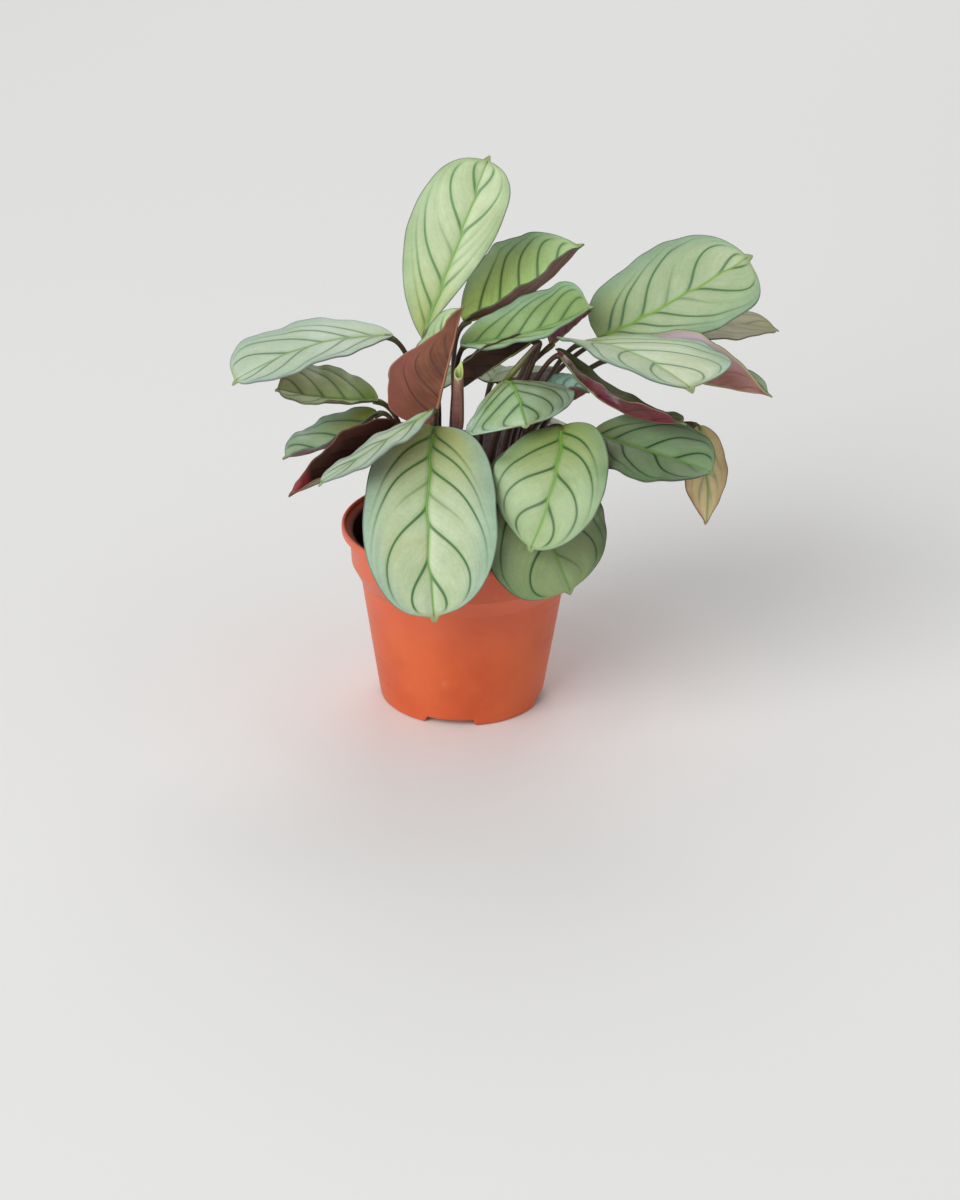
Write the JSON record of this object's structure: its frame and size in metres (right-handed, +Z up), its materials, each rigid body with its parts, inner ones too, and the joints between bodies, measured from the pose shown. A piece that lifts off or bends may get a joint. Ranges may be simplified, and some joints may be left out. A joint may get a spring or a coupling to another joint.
{
  "type": "potted ctenanthe",
  "caption": "Young ctenanthe with patterned oval leaves on slim stalks, in soil in a small tapered nursery pot.",
  "frame": {"origin": "middle of the whole plant's box in plan, at the level of the pot's foot; the pot's axis is at x -10.3 mm, y -3.4 mm", "axes": "+Z up out of the pot, -Y towards the side that the plant is seen from, +X to the right as seen from there"},
  "size_m": [0.135, 0.0934, 0.1322],
  "materials": {
    "leaf_silver_green": "satin",
    "leaf_fresh_green": "satin",
    "leaf_blue_green": "satin",
    "leaf_olive": "satin",
    "leaf_yellow": "matte",
    "leaf_maroon": "satin",
    "leaf_rose": "satin",
    "terracotta_plastic": "satin",
    "soil": "matte"
  },
  "bodies": {
    "root": {"pot": "terracotta_plastic", "soil": "soil", "leaf_tall": "leaf_fresh_green", "leaf_upper_middle": "leaf_silver_green", "leaf_crown": "leaf_blue_green", "leaf_upper_right": "leaf_silver_green", "leaf_right_back": "leaf_olive", "leaf_right_broad": "leaf_silver_green", "leaf_right_folded": "leaf_rose", "leaf_right_sagging": "leaf_maroon", "leaf_right_low": "leaf_silver_green", "leaf_yellowing": "leaf_yellow", "leaf_centre_low": "leaf_silver_green", "leaf_front_middle": "leaf_silver_green", "leaf_front_left": "leaf_fresh_green", "leaf_centre_crown": "leaf_blue_green", "leaf_centre_small": "leaf_blue_green", "leaf_centre_shaded": "leaf_maroon", "leaf_upright_folded": "leaf_maroon", "leaf_left_long": "leaf_silver_green", "leaf_left_middle": "leaf_silver_green", "leaf_left_low": "leaf_blue_green", "leaf_left_dark": "leaf_maroon", "leaf_left_narrow": "leaf_silver_green", "leaf_narrow_folded": "leaf_rose", "leaf_spear": "leaf_rose", "leaf_back_left_high": "leaf_silver_green", "leaf_back_right_high": "leaf_fresh_green", "leaf_back_middle_low": "leaf_blue_green", "leaf_back_right_low": "leaf_silver_green", "leaf_back_left_low": "leaf_silver_green"}
  },
  "joints": []
}
